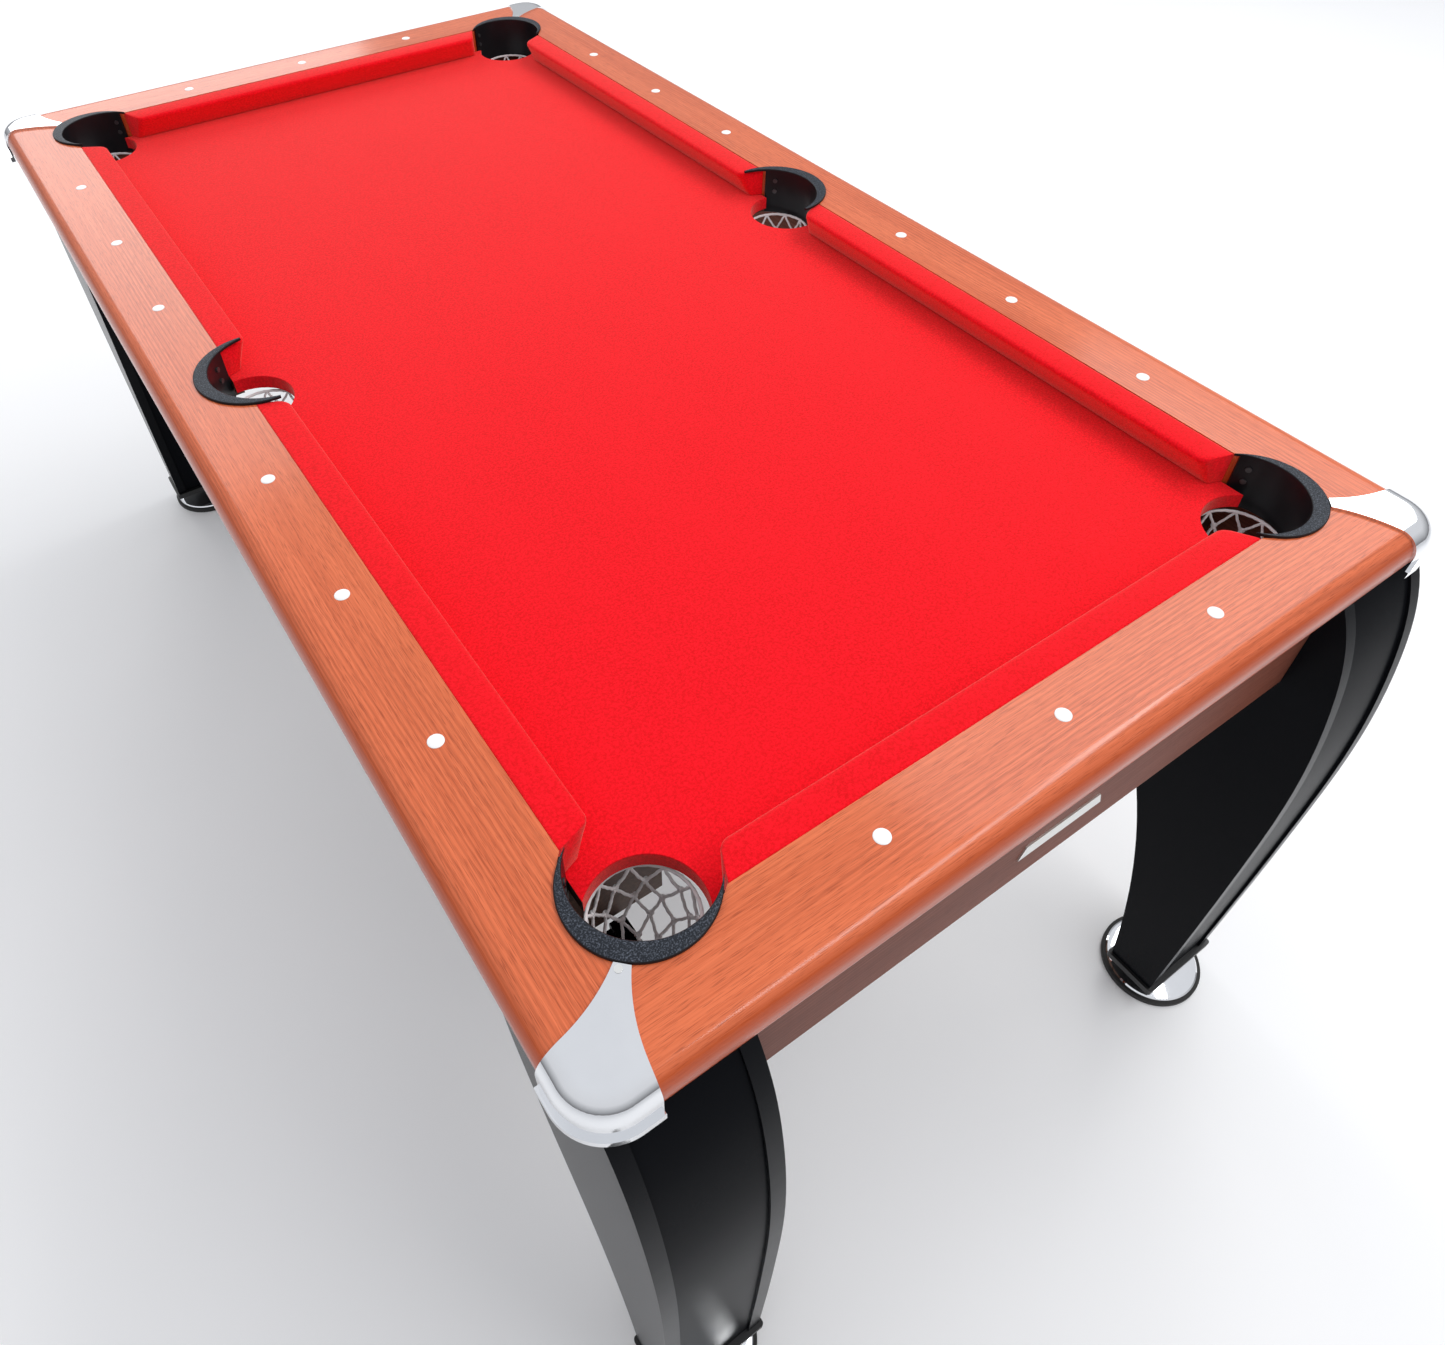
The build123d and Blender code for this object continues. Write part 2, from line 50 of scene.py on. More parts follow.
class Wire:
    """One output of a shader node. Python arithmetic on it adds Math nodes."""

    def __init__(self, finish, socket):
        self.finish = finish
        self.socket = socket

    def maths(self, operation, first, second=0.0):
        return self.finish.node("ShaderNodeMath", {"operation": operation}, {0: first, 1: second})

    def __add__(self, other):
        return self.maths("ADD", self, other)

    def __radd__(self, other):
        return self.maths("ADD", other, self)

    def __sub__(self, other):
        return self.maths("SUBTRACT", self, other)

    def __rsub__(self, other):
        return self.maths("SUBTRACT", other, self)

    def __mul__(self, other):
        return self.maths("MULTIPLY", self, other)

    def __rmul__(self, other):
        return self.maths("MULTIPLY", other, self)

    def __pow__(self, other):
        return self.maths("POWER", self, other)


class Finish:
    """A material made of nodes, or a world's. node() adds any node and gives one of its outputs."""

    def __init__(self, owner):
        self.owner = owner
        owner.use_nodes = True
        self.tree = owner.node_tree
        self.tree.nodes.clear()

    def node(self, kind, settings, sockets, output=0):
        made = self.tree.nodes.new(kind)
        for key, value in settings.items():
            if key == "stops":
                ramp = made.color_ramp.elements
                while len(ramp) < len(value):
                    ramp.new(0.5)
                for stop, (position, colour) in zip(ramp, value):
                    stop.position = position
                    stop.color = (*colour, 1.0)
            else:
                setattr(made, key, value)
        for key, value in sockets.items():
            if isinstance(value, Wire):
                self.tree.links.new(value.socket, made.inputs[key])
            else:
                made.inputs[key].default_value = value
        return Wire(self, made.outputs[output]) if made.outputs else None

    def ramp(self, factor, *stops):
        return self.node("ShaderNodeValToRGB", {"stops": stops}, {"Fac": factor})

    def mix(self, first, second, factor):
        """A colour between two colours."""
        return self.node("ShaderNodeMix", {"data_type": "RGBA"}, {0: factor, 6: first, 7: second}, 2)

    def between(self, value, low, high):
        """0 where value is under low, 1 over high, with a soft step between."""
        return self.node(
            "ShaderNodeMapRange",
            {"interpolation_type": "SMOOTHSTEP"},
            {"Value": value, "From Min": low, "From Max": high},
        )

    def place(self):
        return self.node("ShaderNodeTexCoord", {}, {}, "Object")

    def stretched(self, place, scale, turn=0.0, shift=(0, 0, 0)):
        """The place turned about Z, moved and scaled."""
        return self.node(
            "ShaderNodeMapping",
            {"vector_type": "POINT"},
            {"Vector": place, "Rotation": (0, 0, turn), "Location": shift, "Scale": scale},
        )

    def cloud(self, place, scale, detail=2.0, roughness=0.5, distortion=0.0):
        """Soft noise from 0 to 1."""
        return self.node(
            "ShaderNodeTexNoise",
            {"noise_dimensions": "3D"},
            {
                "Vector": place,
                "Scale": scale,
                "Detail": detail,
                "Roughness": roughness,
                "Distortion": distortion,
            },
        )

    def bump(self, height, strength, distance):
        sockets = {"Height": height, "Strength": strength, "Distance": distance}
        return self.node("ShaderNodeBump", {}, sockets)

    def surface(self, **sockets):
        """The shader: Base_Color=..., Roughness=... and so on."""
        named = {key.replace("_", " "): value for key, value in sockets.items()}
        shader = self.node("ShaderNodeBsdfPrincipled", {}, named)
        self.node("ShaderNodeOutputMaterial", {}, {"Surface": shader})
        return self.owner


def new_finish(name):
    return Finish(bpy.data.materials.new(name))


def rgba(red, green, blue):
    return (red, green, blue, 1.0)


FLOOR_REACH = 40.0

paint = new_finish("pale_floor")
mottle = paint.cloud(paint.place(), 3.0)
pale = paint.mix(rgba(0.94, 0.94, 0.94), rgba(0.965, 0.965, 0.965), mottle)
floor_mesh = bpy.data.meshes.new("floor")
quarters = ((-1, -1), (1, -1), (1, 1), (-1, 1))
floor_corners = [(sx * FLOOR_REACH, sy * FLOOR_REACH, 0.0) for sx, sy in quarters]
floor_mesh.from_pydata(floor_corners, [], [(0, 1, 2, 3)])
floor_mesh.materials.append(paint.surface(Base_Color=pale, Roughness=0.9, Specular_IOR_Level=0.1))
floor = bpy.data.objects.new("floor", floor_mesh)
bpy.context.collection.objects.link(floor)

room = bpy.data.worlds.new("white_room")
bpy.context.scene.world = room
walls = Finish(room)
direction = walls.node("ShaderNodeTexCoord", {}, {}, "Generated")
skyward = walls.node("ShaderNodeSeparateXYZ", {}, {"Vector": direction}, "Z")
sky = walls.ramp(
    skyward,
    (0.0, (0.20, 0.20, 0.21)),
    (0.15, (0.40, 0.41, 0.43)),
    (0.45, (0.74, 0.75, 0.78)),
    (1.0, (0.80, 0.82, 0.86)),
)
glow = walls.node("ShaderNodeBackground", {}, {"Color": sky, "Strength": 1.0})
walls.node("ShaderNodeOutputWorld", {}, {"Surface": glow})


def soft_light(name, place, target, size, power):
    light = bpy.data.lights.new(name, "AREA")
    light.shape = "RECTANGLE"
    light.size, light.size_y = size
    light.energy = power
    lamp = bpy.data.objects.new(name, light)
    lamp.location = place
    lamp.rotation_euler = (Vector(target) - Vector(place)).to_track_quat("-Z", "Y").to_euler()
    lamp.visible_camera = False
    bpy.context.collection.objects.link(lamp)


soft_light("key_light", (3.2, 0.4, 4.2), (0.0, 0.0, 0.7), (2.4, 2.6), 58.0)
soft_light("back_light", (0.0, 4.6, 3.0), (0.0, 0.0, 0.7), (3.0, 2.4), 56.0)
soft_light("near_light", (1.5, -1.7, 3.6), (0.0, -0.7, 0.8), (3.6, 0.45), 42.0)

# the camera's heading from +Y towards +X, its dip and its roll, in radians, and where it stands
VIEW_YAW = 0.5875
VIEW_DOWN = 0.8069
VIEW_ROLL = -0.0155
VIEW_FROM = (-0.5279, -1.07099, 1.48116)
ahead = Vector(
    (
        math.sin(VIEW_YAW) * math.cos(VIEW_DOWN),
        math.cos(VIEW_YAW) * math.cos(VIEW_DOWN),
        -math.sin(VIEW_DOWN),
    )
)
level = Vector((math.cos(VIEW_YAW), -math.sin(VIEW_YAW), 0.0))
upward = level.cross(ahead)
across = math.cos(VIEW_ROLL) * level + math.sin(VIEW_ROLL) * upward
upright = math.cos(VIEW_ROLL) * upward - math.sin(VIEW_ROLL) * level
lens = bpy.data.cameras.new("camera")
lens.sensor_width = 36.0
lens.lens = 26.434
lens.shift_x = 0.0333
lens.shift_y = -0.0613
lens.clip_start = 0.02
lens.clip_end = 200.0
camera = bpy.data.objects.new("camera", lens)
view_axes = Matrix((across, upright, -ahead)).transposed().to_4x4()
camera.matrix_world = Matrix.Translation(VIEW_FROM) @ view_axes
bpy.context.collection.objects.link(camera)
bpy.context.scene.camera = camera
bpy.context.scene.view_settings.view_transform = "Standard"

# --- Rails -----------------------------------------------------------------------------------
# Four rails of fibreboard, each wrapped in one piece of cherry wood-grain foil that runs over
# the rounded edge, under a clear gloss film. The grain runs along each rail.
RAIL_TOP = 0.807
# painted shade on the rails' rounded side: how far below the top it is full, where it starts fading in
# just under the top, and its deeper tone
EDGE_DROP = 0.010
EDGE_BLEND = 0.0015
EDGE_SHADE_TONE = (0.42, 0.056, 0.008)
RAIL_TONES = ((0.74, 0.172, 0.065), (0.60, 0.120, 0.040), (0.31, 0.052, 0.015))
RAIL_GRAIN = {"left": ("Y", 3.1), "right": ("Y", 7.7), "near": ("X", 12.9), "far": ("X", 17.3)}
# the grain's lines, as a wave: radians for each metre across it, and how far the wave wanders
GRAIN_LINES = 1380.0
GRAIN_WANDER = 62.0


def wood(name, run, tones, seed, edge=None, **gloss):
    """Printed cherry grain along X or Y; tones are the light, middle and dark browns.

    edge is a deeper tone painted on the rounded side and on every face below the rail's top, as painted
    shade.
    """
    light, middle, dark = tones
    printed = new_finish(name)
    turn = math.pi / 2 if run == "X" else 0.0
    grain = printed.stretched(printed.place(), (1, 1, 1), turn, (seed, 2.3 * seed, 0.0))
    across_grain = printed.node("ShaderNodeSeparateXYZ", {}, {"Vector": grain}, "X")
    height = printed.node("ShaderNodeSeparateXYZ", {}, {"Vector": grain}, "Z")
    wander = printed.cloud(printed.stretched(grain, (10, 1.1, 10)), 1.0, 2.0)
    fade = printed.cloud(printed.stretched(grain, (22, 2.2, 22)), 1.0, 2.0)
    fibre = printed.cloud(printed.stretched(grain, (760, 8, 760)), 1.0, 3.0, 0.65)
    pores = printed.cloud(printed.stretched(grain, (1900, 60, 1900)), 1.0, 1.0)
    shade = printed.cloud(printed.stretched(grain, (40, 1.6, 40)), 1.0, 3.0)
    phase = (across_grain + height * 0.8) * GRAIN_LINES + wander * GRAIN_WANDER
    wave = printed.node("ShaderNodeMath", {"operation": "SINE"}, {0: phase})
    late_wood = ((wave + 1.0) * 0.5) ** 2.0
    late_wood = late_wood * printed.between(fade, 0.34, 0.62)
    streaks = printed.between(shade * 0.35 + fibre * 0.65, 0.34, 0.66)
    body = printed.mix(rgba(*light), rgba(*middle), streaks)
    lined = printed.mix(body, rgba(*dark), late_wood * 0.42)
    colour = printed.mix(lined, rgba(*dark), printed.between(pores, 0.54, 0.70) * 0.62)
    # below the top edge the colour is drawn towards the edge tone: painted shade on the rounded side
    if edge:
        shade_free_top = printed.between(height, RAIL_TOP - EDGE_DROP, RAIL_TOP - EDGE_BLEND)
        colour = printed.mix(colour, rgba(*edge), (1 - shade_free_top) * 0.75)
    relief = printed.bump(fibre * 0.6 + pores * 0.4, 0.12, 0.0003)
    return printed.surface(
        Base_Color=colour,
        Roughness=fibre * 0.14 + 0.30,
        Normal=relief,
        **gloss,
    )


for side, (run, seed) in RAIL_GRAIN.items():
    foil = wood(
        f"cherry_foil_{side}",
        run,
        RAIL_TONES,
        seed,
        EDGE_SHADE_TONE,
        Coat_Weight=0.60,
        Coat_Roughness=0.14,
        Specular_IOR_Level=0.06,
    )
    nodes[f"rail_{side}"].material_slots[0].material = foil

# --- Rail markers ----------------------------------------------------------------------------
# Eighteen white plastic buttons, 14 mm across, pressed into the rail tops with a low dome.


def loft(rings, closed=True, ends=True):
    """Points and faces of a skin over rings with the same number of points each."""
    count = len(rings[0])
    points = [p for ring in rings for p in ring]
    faces = []
    for k in range(len(rings) - 1):
        for j in range(count if closed else count - 1):
            a, b = k * count + j, k * count + (j + 1) % count
            faces.append((a, b, b + count, a + count))
    if ends:
        faces.append(tuple(range(count))[::-1])
        faces.append(tuple(range((len(rings) - 1) * count, len(rings) * count)))
    return points, faces


def piece(name, parts, finish, body, sharp=35.0):
    """One object from several (points, faces), riding on a body."""
    points, faces = [], []
    for some_points, some_faces in parts:
        start = len(points)
        points += [tuple(p) for p in some_points]
        faces += [tuple(start + i for i in face) for face in some_faces]
    mesh = bpy.data.meshes.new(name)
    mesh.from_pydata(points, [], faces)
    mesh.validate()
    mesh.shade_smooth()
    mesh.set_sharp_from_angle(angle=math.radians(sharp))
    mesh.materials.append(finish)
    made = bpy.data.objects.new(name, mesh)
    bpy.context.collection.objects.link(made)
    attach(made, body)
    return made


def turned(profile, centre, steps=32):
    """A skin turned about a vertical axis from (radius, height) points."""
    cx, cy = centre
    angles = [2 * math.pi * k / steps for k in range(steps)]
    rings = []
    for radius, z in profile:
        rings.append([(cx + radius * math.cos(a), cy + radius * math.sin(a), z) for a in angles])
    return loft(rings)


MARKER_PITCH = 0.189
MARKER_LINES = (0.416, 0.825)
# a button's outline from its foot to its crown: radius, and height over the rail
BUTTON_DOME = [
    (0.0069, -0.0014),
    (0.0069, 0.0002),
    (0.0066, 0.0004),
    (0.0054, 0.00068),
    (0.0032, 0.00088),
    (0.0008, 0.00096),
]
marker_places = []
for sx in (-1, 1):
    marker_places += [(sx * MARKER_LINES[0], k * MARKER_PITCH) for k in (-3, -2, -1, 1, 2, 3)]
for sy in (-1, 1):
    marker_places += [(k * MARKER_PITCH, sy * MARKER_LINES[1]) for k in (-1, 0, 1)]
button = new_finish("white_button")
cloudy = button.cloud(button.place(), 180.0, 3.0)
markers = piece(
    "rail_markers",
    [turned([(r, RAIL_TOP + z) for r, z in BUTTON_DOME], place) for place in marker_places],
    button.surface(
        Base_Color=button.mix(rgba(0.86, 0.85, 0.83), rgba(0.93, 0.93, 0.92), cloudy),
        Roughness=cloudy * 0.12 + 0.26,
        Normal=button.bump(cloudy, 0.08, 0.0002),
    ),
    "table",
)
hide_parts("rail_sights")

# --- Cloth -----------------------------------------------------------------------------------
# Red short-nap billiard cloth. One cut is stretched and glued over the bed and turned down
# into the pockets; the cushions are strips of rubber wrapped in the same cloth.
BED_HALF = (0.3845, 0.7915)
CLOTH_TOP = 0.771
HEM_LOW = 0.7555
HEM_IN = 0.0006
ROLL_OUT = 0.00044
ROLL_DOWN = 0.0022
ROLL_STEPS = 6
# a pocket's cut in the bed: its centre and radius
CORNER_CUT = (0.351, 0.763, 0.048)
SIDE_CUT = (0.380, 0.0, 0.048)
CIRCLE_STEPS = 720
CUT_POINTS = 48

felt = new_finish("red_cloth")
on_cloth = felt.place()
nap = felt.cloud(on_cloth, 2600.0, 3.0, 0.7)
tufts = felt.cloud(on_cloth, 420.0, 4.0, 0.65)
brushing = felt.cloud(felt.stretched(on_cloth, (14, 5, 14)), 1.0, 3.0)
speckle = felt.between(tufts * 0.6 + nap * 0.4, 0.38, 0.62)
worn = felt.mix(rgba(0.66, 0.0006, 0.0045), rgba(0.96, 0.0040, 0.0160), speckle)
worn = felt.mix(worn, rgba(0.90, 0.0060, 0.0150), felt.between(brushing, 0.30, 0.80) * 0.22)
red_cloth = felt.surface(
    Base_Color=worn,
    Roughness=0.92,
    Specular_IOR_Level=0.12,
    Sheen_Weight=0.62,
    Sheen_Roughness=0.42,
    Sheen_Tint=rgba(1.0, 0.42, 0.34),
    Normal=felt.bump(nap * 0.5 + tufts * 0.5, 0.50, 0.0008),
)


def cut_edge(cut, sx, sy):
    """A pocket's edge in the bed, anticlockwise round the bed: each point and the way into the hole."""
    cx, cy, radius = sx * cut[0], sy * cut[1], cut[2]
    inside = []
    for k in range(CIRCLE_STEPS):
        a = 2 * math.pi * k / CIRCLE_STEPS
        x, y = cx + radius * math.cos(a), cy + radius * math.sin(a)
        if abs(x) <= BED_HALF[0] and abs(y) <= BED_HALF[1]:
            inside.append(a)
    # the arc inside the bed starts after the jump in the angles
    gaps = [(a - inside[i - 1]) % (2 * math.pi) for i, a in enumerate(inside)]
    first = next(i for i, gap in enumerate(gaps) if gap > math.pi / 90)
    arc = (inside[first:] + inside[:first])[::-1]
    arc = arc[:: max(1, len(arc) // CUT_POINTS)] + [arc[-1]]
    ways = [(math.cos(a), math.sin(a)) for a in arc]
    return [((cx + radius * ux, cy + radius * uy), (-ux, -uy)) for ux, uy in ways]


bed_cuts = [
    cut_edge(CORNER_CUT, -1, -1),
    cut_edge(CORNER_CUT, 1, -1),
    cut_edge(SIDE_CUT, 1, 0),
    cut_edge(CORNER_CUT, 1, 1),
    cut_edge(CORNER_CUT, -1, 1),
    cut_edge(SIDE_CUT, -1, 0),
]
top_loop = [(x, y, CLOTH_TOP) for cut in bed_cuts for (x, y), _ in cut]
cloth_parts = [(top_loop, [tuple(range(len(top_loop)))])]
for cut in bed_cuts:
    rows = []
    for k in range(ROLL_STEPS + 1):
        a = math.pi / 2 * k / ROLL_STEPS
        out, down = ROLL_OUT * math.sin(a), ROLL_DOWN * (1 - math.cos(a))
        rows.append([(x + out * ux, y + out * uy, CLOTH_TOP - down) for (x, y), (ux, uy) in cut])
    rows.append([(x + HEM_IN * ux, y + HEM_IN * uy, HEM_LOW) for (x, y), (ux, uy) in cut])
    cloth_parts.append(loft(rows, closed=False, ends=False))
bed_cloth = piece("bed_cloth_stretched", cloth_parts, red_cloth, "table")
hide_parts("bed_cloth")

RAIL_IN = (0.385, 0.792)
CUSHION_DEPTH = 0.032
END_ROUND = 0.007
END_DIP = 0.0875
END_STEPS = (0.0, 0.04, 0.12, 0.25, 0.42, 0.65, 1.0)
MIDDLE_STEPS = 12
# across a cushion, from the rail over the top and the nose and back under it: depth, and height
# over the rail's top
CUSHION_FACE = [
    (0.0002, -0.0014),
    (0.0010, -0.0006),
    (0.0030, -0.0004),
    (0.0160, -0.0010),
    (0.0270, -0.0018),
    (0.0298, -0.0026),
    (0.0314, -0.0040),
    (0.0319, -0.0058),
    (0.0314, -0.0078),
    (0.0290, -0.0120),
    (0.0230, -0.0235),
    (0.0174, -0.0345),
    (0.0168, -0.0350),
    (0.0002, -0.0350),
]


def cushion_rings(jaws, place):
    """Rings across a cushion strip. jaws are its ends at the rail and at the nose, along the rail."""
    rail_start, nose_start, nose_stop, rail_stop = jaws

    def span(deep):
        """Where the strip starts and stops this deep in from the rail."""
        share = deep / CUSHION_DEPTH
        start = rail_start + (nose_start - rail_start) * share
        stop = rail_stop + (nose_stop - rail_stop) * share
        return start, stop

    def end_ring(inset, at_start):
        """One ring of a rounded end, with the nose drawn back and a little down."""
        short = END_ROUND - math.sqrt(inset * (2 * END_ROUND - inset))
        ring = []
        for deep, z in CUSHION_FACE:
            nose_share = max(0.0, min(1.0, (deep - 0.010) / (CUSHION_DEPTH - 0.010)))
            drawn_back = deep - short * nose_share
            start, stop = span(drawn_back)
            along = start + inset if at_start else stop - inset
            dip = END_DIP * short if z > -0.010 and nose_share else 0.0
            ring.append(place(drawn_back, along, RAIL_TOP + z - dip))
        return ring

    rings = [end_ring(END_ROUND * step, True) for step in END_STEPS]
    for k in range(1, MIDDLE_STEPS):
        ring = []
        for deep, z in CUSHION_FACE:
            start, stop = span(deep)
            first, last = start + END_ROUND, stop - END_ROUND
            ring.append(place(deep, first + (last - first) * (k / MIDDLE_STEPS), RAIL_TOP + z))
        rings.append(ring)
    return rings + [end_ring(END_ROUND * step, False) for step in END_STEPS[::-1]]


LONG_JAWS = (0.0588, 0.0720, 0.6915, 0.7030)
END_JAWS = (-0.3008, -0.2860, 0.2860, 0.3008)
for side, sx in (("left", -1), ("right", 1)):
    for end, sy in (("near", -1), ("far", 1)):
        name = f"cushion_{side}_{end}"
        rings = cushion_rings(LONG_JAWS, lambda deep, along, z: (sx * (RAIL_IN[0] - deep), sy * along, z))
        strip = piece(f"{name}_wrapped", [loft(rings)], red_cloth, "table", 50.0)
        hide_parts(name)
for end, sy in (("near", -1), ("far", 1)):
    rings = cushion_rings(END_JAWS, lambda deep, along, z: (along, sy * (RAIL_IN[1] - deep), z))
    strip = piece(f"cushion_{end}_wrapped", [loft(rings)], red_cloth, "table", 50.0)
    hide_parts(f"cushion_{end}")

# --- Bed and the timber under it -------------------------------------------------------------
# The bed, its ledges and beams and the panels behind the legs are bare brown fibreboard.
board = new_finish("brown_board")
on_board = board.place()
chips = board.cloud(on_board, 260.0, 5.0, 0.7)
stain = board.cloud(on_board, 9.0, 3.0)
bare = board.ramp(
    chips,
    (0.30, (0.070, 0.034, 0.022)),
    (0.52, (0.120, 0.062, 0.040)),
    (0.72, (0.190, 0.105, 0.068)),
)
fibreboard = board.surface(
    Base_Color=board.mix(bare, rgba(0.060, 0.030, 0.022), stain * 0.35),
    Roughness=chips * 0.2 + 0.55,
    Normal=board.bump(chips, 0.2, 0.0005),
)
for name in ("playfield_bed", "bed_supports", "leg_mount_panels"):
    nodes[name].material_slots[0].material = fibreboard

# --- Pocket liners ---------------------------------------------------------------------------
# Black moulded liners: a crescent rim with a fine leather grain lies on the rail, and a smooth
# glossy wall goes down the rail's cut-out. Both edges of the rim are rounded and polished.
# circles: centre and radius
CORNER_RIM = (0.3516, 0.7560, 0.0593)
CORNER_HOLE = (0.3417, 0.7461, 0.0573)
SIDE_RIM = (0.3606, 0.0, 0.0682)
SIDE_HOLE = (0.3466, 0.0, 0.0662)
# the rim: its thickness, its edges' rounding, its least width and where the side ones end
RIM_THICK = 0.0030
RIM_ROUND = 0.0012
RIM_TIP = 0.0004
SIDE_RIM_FROM = 0.3580
RIM_GRAIN = (0.8090, 0.8097)
# the wall: its thickness, its foot and bevel, and the lines across and along that it starts at
WALL_THICK = 0.0031
WALL_LOW = 0.7472
WALL_BEVEL = 0.0008
WALL_FROM = (0.3855, 0.7924)

plastic = new_finish("black_liner")
on_liner = plastic.place()
liner_z = plastic.node("ShaderNodeSeparateXYZ", {}, {"Vector": on_liner}, "Z")
facing = plastic.node("ShaderNodeNewGeometry", {}, {}, "Normal")
flatness = plastic.node("ShaderNodeSeparateXYZ", {}, {"Vector": facing}, "Z")
grained = plastic.between(liner_z, *RIM_GRAIN) * plastic.between(flatness, 0.90, 0.99)
pebble = plastic.node(
    "ShaderNodeTexVoronoi",
    {"feature": "SMOOTH_F1"},
    {"Vector": on_liner, "Scale": 900.0, "Smoothness": 0.6},
)
speck = plastic.cloud(on_liner, 820.0, 3.0, 0.6)
scuff = plastic.cloud(on_liner, 60.0, 4.0)
pitch_black = plastic.mix(rgba(0.006, 0.006, 0.007), rgba(0.012, 0.012, 0.014), scuff)
pale_specks = plastic.between(speck, 0.46, 0.74)
grey_grain = plastic.mix(rgba(0.010, 0.013, 0.019), rgba(0.105, 0.120, 0.150), pale_specks)
liner_plastic = plastic.surface(
    Base_Color=plastic.mix(pitch_black, grey_grain, grained),
    Roughness=grained * 0.14 + scuff * 0.08 + 0.30,
    Specular_IOR_Level=0.20,
    Normal=plastic.bump(pebble * grained, 0.6, 0.0004),
)


def rim_reach(hole, rim, angle):
    """How far the rim's outer edge is from the hole's centre along an angle."""
    away = Vector((rim[0] - hole[0], rim[1] - hole[1]))
    way = Vector((math.cos(angle), math.sin(angle)))
    along = away.dot(way)
    return along + math.sqrt(max(0.0, rim[2] ** 2 - away.length_squared + along**2))


def crescent(hole, rim, start, stop, steps):
    """The rim's rings: a flat strip with rounded edges, narrowing to a point at each end."""
    inner = hole[2]
    low, high = RAIL_TOP + 0.0001, RAIL_TOP + RIM_THICK
    rise = (0.4, 0.8, 1.2)
    rings = []
    for k in range(steps + 1):
        a = start + (stop - start) * k / steps
        width = max(rim_reach(hole, rim, a) - inner, RIM_TIP)
        r = min(RIM_ROUND, width * 0.35)
        rounded = [(r * (1 - math.cos(t)), high - r + r * math.sin(t)) for t in rise]
        outer = inner + width
        section = [(inner, low), (inner, high - r)]
        section += [(inner + d, z) for d, z in rounded]
        section += [(inner + r, high), (inner + width / 2, high), (outer - r, high)]
        section += [(outer - d, z) for d, z in rounded[::-1]]
        section += [(outer, high - r), (outer, low)]
        rings.append([(hole[0] + d * math.cos(a), hole[1] + d * math.sin(a), z) for d, z in section])
    return rings


def liner_wall(hole, start, stop, steps):
    """The wall's rings: upright, just over the rail's top, with a bevel at the foot inside."""
    inner, outer = hole[2], hole[2] + WALL_THICK
    high = RAIL_TOP + 0.0003
    section = [
        (inner, WALL_LOW + WALL_BEVEL),
        (inner, high),
        (outer, high),
        (outer, WALL_LOW),
        (inner + WALL_BEVEL, WALL_LOW),
    ]
    rings = []
    for k in range(steps + 1):
        a = start + (stop - start) * k / steps
        rings.append([(hole[0] + d * math.cos(a), hole[1] + d * math.sin(a), z) for d, z in section])
    return rings


def mirrored(rings, sx, sy):
    """The same rings in another quarter of the table, with their faces still turned outwards."""
    flipped = [[(sx * x, sy * y, z) for x, y, z in ring] for ring in rings]
    return flipped if sx * sy > 0 else [ring[::-1] for ring in flipped]


def liner(name, hole, rim, rim_span, wall_span, sx, sy):
    parts = [
        loft(mirrored(crescent(hole, rim, *rim_span, 96), sx, sy)),
        loft(mirrored(liner_wall(hole, *wall_span, 64), sx, sy)),
    ]
    made = piece(f"pocket_liner_{name}_moulded", parts, liner_plastic, "table", 40.0)
    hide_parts(f"pocket_liner_{name}")


CORNERS = {"near_left": (-1, -1), "near_right": (1, -1), "far_left": (-1, 1), "far_right": (1, 1)}
hole_r = CORNER_HOLE[2]
apart = math.dist(CORNER_RIM[:2], CORNER_HOLE[:2])
# the rim's tips are where its two circles meet
tip = math.acos((hole_r**2 + apart**2 - CORNER_RIM[2] ** 2) / (2 * hole_r * apart))
corner_rim = (math.pi / 4 - tip, math.pi / 4 + tip)
wall_start = -math.acos((WALL_FROM[0] - CORNER_HOLE[0]) / hole_r)
wall_stop = math.pi - math.asin((WALL_FROM[1] - CORNER_HOLE[1]) / hole_r)
for name, (sx, sy) in CORNERS.items():
    liner(name, CORNER_HOLE, CORNER_RIM, corner_rim, (wall_start, wall_stop), sx, sy)
side_tip = math.acos((SIDE_RIM_FROM - SIDE_HOLE[0]) / SIDE_HOLE[2])
side_wall = math.acos((WALL_FROM[0] - SIDE_HOLE[0]) / SIDE_HOLE[2])
for name, sx in (("left", -1), ("right", 1)):
    liner(name, SIDE_HOLE, SIDE_RIM, (-side_tip, side_tip), (-side_wall, side_wall), sx, 1)

# --- Screws ----------------------------------------------------------------------------------
# Small zinc-plated screws hold the caps, the same ones in black hold the liners' walls, and each
# leg has one larger screw in a side board.
CAP_SCREWS_FROM = (0.8030, 0.8045)

screw_plate = new_finish("small_screws")
on_screw = screw_plate.place()
screw_z = screw_plate.node("ShaderNodeSeparateXYZ", {}, {"Vector": on_screw}, "Z")
on_cap = screw_plate.between(screw_z, *CAP_SCREWS_FROM)
patina = screw_plate.cloud(on_screw, 900.0, 2.0)
blackened = screw_plate.mix(rgba(0.035, 0.035, 0.037), rgba(0.070, 0.070, 0.072), patina)
nodes["small_screws"].material_slots[0].material = screw_plate.surface(
    Base_Color=screw_plate.mix(blackened, rgba(0.80, 0.80, 0.78), on_cap),
    Metallic=on_cap * 0.6 + 0.4,
    Roughness=patina * 0.15 + 0.25,
)
zinc = new_finish("zinc_plate")
on_zinc = zinc.place()
spangle = zinc.cloud(on_zinc, 900.0, 2.0)
zinc_plate = zinc.surface(
    Base_Color=zinc.mix(rgba(0.62, 0.62, 0.60), rgba(0.84, 0.84, 0.82), spangle),
    Metallic=1.0,
    Roughness=spangle * 0.2 + 0.18,
)
nodes["leg_screws"].material_slots[0].material = zinc_plate

